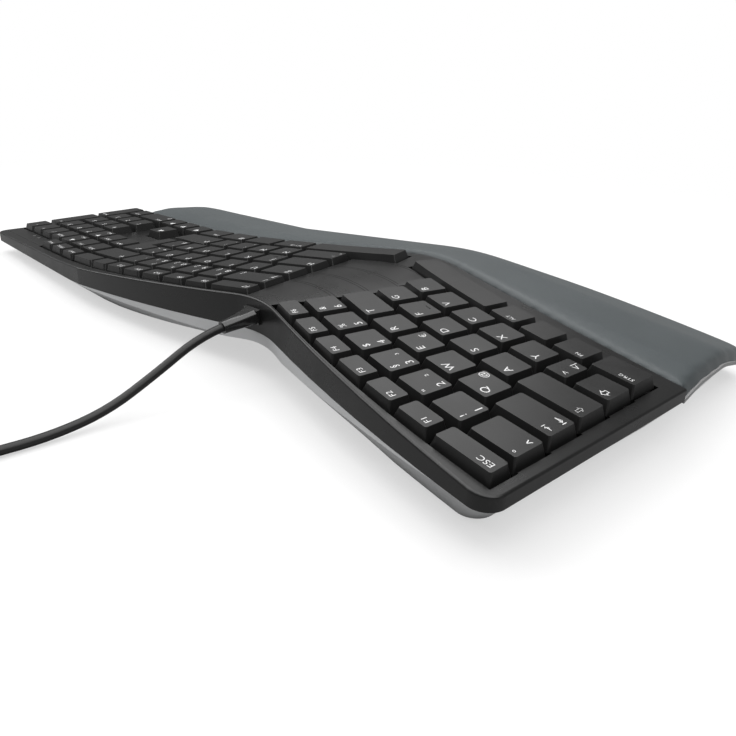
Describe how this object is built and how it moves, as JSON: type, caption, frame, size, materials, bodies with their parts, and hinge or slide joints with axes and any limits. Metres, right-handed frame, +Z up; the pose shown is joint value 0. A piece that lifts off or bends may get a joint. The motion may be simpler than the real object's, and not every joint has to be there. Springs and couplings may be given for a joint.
{
  "type": "ergonomic keyboard",
  "caption": "Wired ergonomic keyboard with a wave-shaped split key field, a fixed padded palm rest, an editing block and a number pad.",
  "frame": {"origin": "on the desk below the middle of the body's length and depth, the cable left out", "axes": "+X to the number pad end, +Y to the rear edge where the cable leaves, +Z up"},
  "size_m": [0.48, 0.395, 0.0443],
  "materials": {
    "key_plastic": "satin",
    "frame_plastic": "satin, smooth",
    "shell_plastic": "satin light silver grey",
    "guide_plastic": "matt",
    "silicone": "matt",
    "foil": "smooth",
    "plate_steel": "zinc plated",
    "wire_steel": "drawn",
    "carrier_plastic": "matt",
    "pad_cover": "smooth soft cover",
    "screw_steel": "zinc plated",
    "foot_rubber": "matt",
    "tilt_foot_plastic": "matt",
    "board": "solder mask",
    "light_guide": "clear",
    "collar_plastic": "polished",
    "cable_jacket": "satin",
    "tie_plastic": "matt",
    "plug_plastic": "satin",
    "contact_metal": "bright plated"
  },
  "bodies": {
    "housing": {"top_frame": "frame_plastic", "key_guide_plate": "guide_plastic", "dome_sheet": "silicone", "membrane": "foil", "base_plate": "plate_steel", "stabiliser_wires": "wire_steel", "bottom_shell": "shell_plastic", "palm_rest_carrier": "carrier_plastic", "palm_rest_pad": "pad_cover", "housing_screws": "screw_steel", "rubber_feet": "foot_rubber", "controller_board": "board", "light_guides": "light_guide", "cable_collar": "collar_plastic", "cable_coil": "cable_jacket", "cable": "cable_jacket", "cable_tie": "tie_plastic", "usb_plug": "plug_plastic", "usb_contact_shell": "contact_metal"},
    "key_esc": {"key_esc": "key_plastic"},
    "keys_f1_to_f3": {"keys_f1_to_f3": "key_plastic"},
    "keys_f4_to_f6": {"keys_f4_to_f6": "key_plastic"},
    "keys_caret_to_six": {"keys_caret_to_six": "key_plastic"},
    "key_tab": {"key_tab": "key_plastic"},
    "keys_q_to_t": {"keys_q_to_t": "key_plastic"},
    "key_caps_lock": {"key_caps_lock": "key_plastic"},
    "keys_a_to_g": {"keys_a_to_g": "key_plastic"},
    "key_shift_left": {"key_shift_left": "key_plastic"},
    "keys_angle_to_b": {"keys_angle_to_b": "key_plastic"},
    "key_ctrl_left": {"key_ctrl_left": "key_plastic"},
    "keys_fn_to_alt": {"keys_fn_to_alt": "key_plastic"},
    "key_space_left": {"key_space_left": "key_plastic"},
    "keys_f7_to_f9": {"keys_f7_to_f9": "key_plastic"},
    "keys_f10_to_k2": {"keys_f10_to_k2": "key_plastic"},
    "keys_seven_to_nine": {"keys_seven_to_nine": "key_plastic"},
    "keys_zero_to_accent": {"keys_zero_to_accent": "key_plastic"},
    "keys_z_to_o": {"keys_z_to_o": "key_plastic"},
    "keys_p_to_plus": {"keys_p_to_plus": "key_plastic"},
    "keys_h_to_l": {"keys_h_to_l": "key_plastic"},
    "keys_oe_to_hash": {"keys_oe_to_hash": "key_plastic"},
    "keys_n_to_dash": {"keys_n_to_dash": "key_plastic"},
    "key_backspace": {"key_backspace": "key_plastic"},
    "key_shift_right": {"key_shift_right": "key_plastic"},
    "key_enter": {"key_enter": "key_plastic"},
    "key_space_right": {"key_space_right": "key_plastic"},
    "keys_altgr_to_ctrl": {"keys_altgr_to_ctrl": "key_plastic"},
    "keys_f_row_right": {"keys_f_row_right": "key_plastic"},
    "keys_editing": {"keys_editing": "key_plastic"},
    "key_arrow_up": {"key_arrow_up": "key_plastic"},
    "keys_arrows_lower": {"keys_arrows_lower": "key_plastic"},
    "keys_num_operators": {"keys_num_operators": "key_plastic"},
    "keys_num_four_to_nine": {"keys_num_four_to_nine": "key_plastic"},
    "keys_num_one_to_comma": {"keys_num_one_to_comma": "key_plastic"},
    "key_num_plus": {"key_num_plus": "key_plastic"},
    "key_num_enter": {"key_num_enter": "key_plastic"},
    "key_num_zero": {"key_num_zero": "key_plastic"},
    "tilt_foot_rear_left": {"tilt_foot_rear_left": "tilt_foot_plastic"},
    "tilt_foot_rear_right": {"tilt_foot_rear_right": "tilt_foot_plastic"},
    "tilt_foot_front_left": {"tilt_foot_front_left": "tilt_foot_plastic"},
    "tilt_foot_front_right": {"tilt_foot_front_right": "tilt_foot_plastic"}
  },
  "joints": [
    {"name": "key_esc_press", "type": "slide", "parent": "housing", "child": "key_esc", "axis": [0.0928, -0.0308, -0.9952], "range_m": [0, 0.0028], "stiffness_N_per_m": 150, "springref_m": -0.003},
    {"name": "keys_f1_to_f3_press", "type": "slide", "parent": "housing", "child": "keys_f1_to_f3", "axis": [0.0928, -0.0308, -0.9952], "range_m": [0, 0.0028], "stiffness_N_per_m": 150, "springref_m": -0.003},
    {"name": "keys_f4_to_f6_press", "type": "slide", "parent": "housing", "child": "keys_f4_to_f6", "axis": [0.0928, -0.0308, -0.9952], "range_m": [0, 0.0028], "stiffness_N_per_m": 150, "springref_m": -0.003},
    {"name": "keys_caret_to_six_press", "type": "slide", "parent": "housing", "child": "keys_caret_to_six", "axis": [0.0928, -0.0308, -0.9952], "range_m": [0, 0.0028], "stiffness_N_per_m": 150, "springref_m": -0.003},
    {"name": "key_tab_press", "type": "slide", "parent": "housing", "child": "key_tab", "axis": [0.0928, -0.0308, -0.9952], "range_m": [0, 0.0028], "stiffness_N_per_m": 150, "springref_m": -0.003},
    {"name": "keys_q_to_t_press", "type": "slide", "parent": "housing", "child": "keys_q_to_t", "axis": [0.0928, -0.0308, -0.9952], "range_m": [0, 0.0028], "stiffness_N_per_m": 150, "springref_m": -0.003},
    {"name": "key_caps_lock_press", "type": "slide", "parent": "housing", "child": "key_caps_lock", "axis": [0.0928, -0.0308, -0.9952], "range_m": [0, 0.0028], "stiffness_N_per_m": 150, "springref_m": -0.003},
    {"name": "keys_a_to_g_press", "type": "slide", "parent": "housing", "child": "keys_a_to_g", "axis": [0.0928, -0.0308, -0.9952], "range_m": [0, 0.0028], "stiffness_N_per_m": 150, "springref_m": -0.003},
    {"name": "key_shift_left_press", "type": "slide", "parent": "housing", "child": "key_shift_left", "axis": [0.0928, -0.0308, -0.9952], "range_m": [0, 0.0028], "stiffness_N_per_m": 150, "springref_m": -0.003},
    {"name": "keys_angle_to_b_press", "type": "slide", "parent": "housing", "child": "keys_angle_to_b", "axis": [0.0928, -0.0308, -0.9952], "range_m": [0, 0.0028], "stiffness_N_per_m": 150, "springref_m": -0.003},
    {"name": "key_ctrl_left_press", "type": "slide", "parent": "housing", "child": "key_ctrl_left", "axis": [0.0928, -0.0308, -0.9952], "range_m": [0, 0.0028], "stiffness_N_per_m": 150, "springref_m": -0.003},
    {"name": "keys_fn_to_alt_press", "type": "slide", "parent": "housing", "child": "keys_fn_to_alt", "axis": [0.0928, -0.0308, -0.9952], "range_m": [0, 0.0028], "stiffness_N_per_m": 150, "springref_m": -0.003},
    {"name": "key_space_left_press", "type": "slide", "parent": "housing", "child": "key_space_left", "axis": [0.0928, -0.0308, -0.9952], "range_m": [0, 0.0028], "stiffness_N_per_m": 150, "springref_m": -0.003},
    {"name": "keys_f7_to_f9_press", "type": "slide", "parent": "housing", "child": "keys_f7_to_f9", "axis": [-0.0928, -0.0308, -0.9952], "range_m": [0, 0.0028], "stiffness_N_per_m": 150, "springref_m": -0.003},
    {"name": "keys_f10_to_k2_press", "type": "slide", "parent": "housing", "child": "keys_f10_to_k2", "axis": [-0.0928, -0.0308, -0.9952], "range_m": [0, 0.0028], "stiffness_N_per_m": 150, "springref_m": -0.003},
    {"name": "keys_seven_to_nine_press", "type": "slide", "parent": "housing", "child": "keys_seven_to_nine", "axis": [-0.0928, -0.0308, -0.9952], "range_m": [0, 0.0028], "stiffness_N_per_m": 150, "springref_m": -0.003},
    {"name": "keys_zero_to_accent_press", "type": "slide", "parent": "housing", "child": "keys_zero_to_accent", "axis": [-0.0928, -0.0308, -0.9952], "range_m": [0, 0.0028], "stiffness_N_per_m": 150, "springref_m": -0.003},
    {"name": "keys_z_to_o_press", "type": "slide", "parent": "housing", "child": "keys_z_to_o", "axis": [-0.0928, -0.0308, -0.9952], "range_m": [0, 0.0028], "stiffness_N_per_m": 150, "springref_m": -0.003},
    {"name": "keys_p_to_plus_press", "type": "slide", "parent": "housing", "child": "keys_p_to_plus", "axis": [-0.0928, -0.0308, -0.9952], "range_m": [0, 0.0028], "stiffness_N_per_m": 150, "springref_m": -0.003},
    {"name": "keys_h_to_l_press", "type": "slide", "parent": "housing", "child": "keys_h_to_l", "axis": [-0.0928, -0.0308, -0.9952], "range_m": [0, 0.0028], "stiffness_N_per_m": 150, "springref_m": -0.003},
    {"name": "keys_oe_to_hash_press", "type": "slide", "parent": "housing", "child": "keys_oe_to_hash", "axis": [-0.0928, -0.0308, -0.9952], "range_m": [0, 0.0028], "stiffness_N_per_m": 150, "springref_m": -0.003},
    {"name": "keys_n_to_dash_press", "type": "slide", "parent": "housing", "child": "keys_n_to_dash", "axis": [-0.0928, -0.0308, -0.9952], "range_m": [0, 0.0028], "stiffness_N_per_m": 150, "springref_m": -0.003},
    {"name": "key_backspace_press", "type": "slide", "parent": "housing", "child": "key_backspace", "axis": [-0.0928, -0.0308, -0.9952], "range_m": [0, 0.0028], "stiffness_N_per_m": 150, "springref_m": -0.003},
    {"name": "key_shift_right_press", "type": "slide", "parent": "housing", "child": "key_shift_right", "axis": [-0.0928, -0.0308, -0.9952], "range_m": [0, 0.0028], "stiffness_N_per_m": 150, "springref_m": -0.003},
    {"name": "key_enter_press", "type": "slide", "parent": "housing", "child": "key_enter", "axis": [-0.0928, -0.0308, -0.9952], "range_m": [0, 0.0028], "stiffness_N_per_m": 150, "springref_m": -0.003},
    {"name": "key_space_right_press", "type": "slide", "parent": "housing", "child": "key_space_right", "axis": [-0.0928, -0.0308, -0.9952], "range_m": [0, 0.0028], "stiffness_N_per_m": 150, "springref_m": -0.003},
    {"name": "keys_altgr_to_ctrl_press", "type": "slide", "parent": "housing", "child": "keys_altgr_to_ctrl", "axis": [-0.0928, -0.0308, -0.9952], "range_m": [0, 0.0028], "stiffness_N_per_m": 150, "springref_m": -0.003},
    {"name": "keys_f_row_right_press", "type": "slide", "parent": "housing", "child": "keys_f_row_right", "axis": [-0.0399, -0.0309, -0.9987], "range_m": [0, 0.0028], "stiffness_N_per_m": 150, "springref_m": -0.003},
    {"name": "keys_editing_press", "type": "slide", "parent": "housing", "child": "keys_editing", "axis": [-0.0399, -0.0309, -0.9987], "range_m": [0, 0.0028], "stiffness_N_per_m": 150, "springref_m": -0.003},
    {"name": "key_arrow_up_press", "type": "slide", "parent": "housing", "child": "key_arrow_up", "axis": [-0.0399, -0.0309, -0.9987], "range_m": [0, 0.0028], "stiffness_N_per_m": 150, "springref_m": -0.003},
    {"name": "keys_arrows_lower_press", "type": "slide", "parent": "housing", "child": "keys_arrows_lower", "axis": [-0.0399, -0.0309, -0.9987], "range_m": [0, 0.0028], "stiffness_N_per_m": 150, "springref_m": -0.003},
    {"name": "keys_num_operators_press", "type": "slide", "parent": "housing", "child": "keys_num_operators", "axis": [-0.0399, -0.0309, -0.9987], "range_m": [0, 0.0028], "stiffness_N_per_m": 150, "springref_m": -0.003},
    {"name": "keys_num_four_to_nine_press", "type": "slide", "parent": "housing", "child": "keys_num_four_to_nine", "axis": [-0.0399, -0.0309, -0.9987], "range_m": [0, 0.0028], "stiffness_N_per_m": 150, "springref_m": -0.003},
    {"name": "keys_num_one_to_comma_press", "type": "slide", "parent": "housing", "child": "keys_num_one_to_comma", "axis": [-0.0399, -0.0309, -0.9987], "range_m": [0, 0.0028], "stiffness_N_per_m": 150, "springref_m": -0.003},
    {"name": "key_num_plus_press", "type": "slide", "parent": "housing", "child": "key_num_plus", "axis": [-0.0399, -0.0309, -0.9987], "range_m": [0, 0.0028], "stiffness_N_per_m": 150, "springref_m": -0.003},
    {"name": "key_num_enter_press", "type": "slide", "parent": "housing", "child": "key_num_enter", "axis": [-0.0399, -0.0309, -0.9987], "range_m": [0, 0.0028], "stiffness_N_per_m": 150, "springref_m": -0.003},
    {"name": "key_num_zero_press", "type": "slide", "parent": "housing", "child": "key_num_zero", "axis": [-0.0399, -0.0309, -0.9987], "range_m": [0, 0.0028], "stiffness_N_per_m": 150, "springref_m": -0.003},
    {"name": "tilt_foot_rear_left_fold", "type": "hinge", "parent": "housing", "child": "tilt_foot_rear_left", "pos_m": [-0.204, 0.076, 0.0023], "axis": [1, 0, 0], "range_deg": [0, 90]},
    {"name": "tilt_foot_rear_right_fold", "type": "hinge", "parent": "housing", "child": "tilt_foot_rear_right", "pos_m": [0.2, 0.066, 0.0023], "axis": [1, 0, 0], "range_deg": [0, 90]},
    {"name": "tilt_foot_front_left_fold", "type": "hinge", "parent": "housing", "child": "tilt_foot_front_left", "pos_m": [-0.204, -0.014, 0.0023], "axis": [1, 0, 0], "range_deg": [0, 90]},
    {"name": "tilt_foot_front_right_fold", "type": "hinge", "parent": "housing", "child": "tilt_foot_front_right", "pos_m": [0.2, -0.024, 0.0023], "axis": [1, 0, 0], "range_deg": [0, 90]}
  ]
}
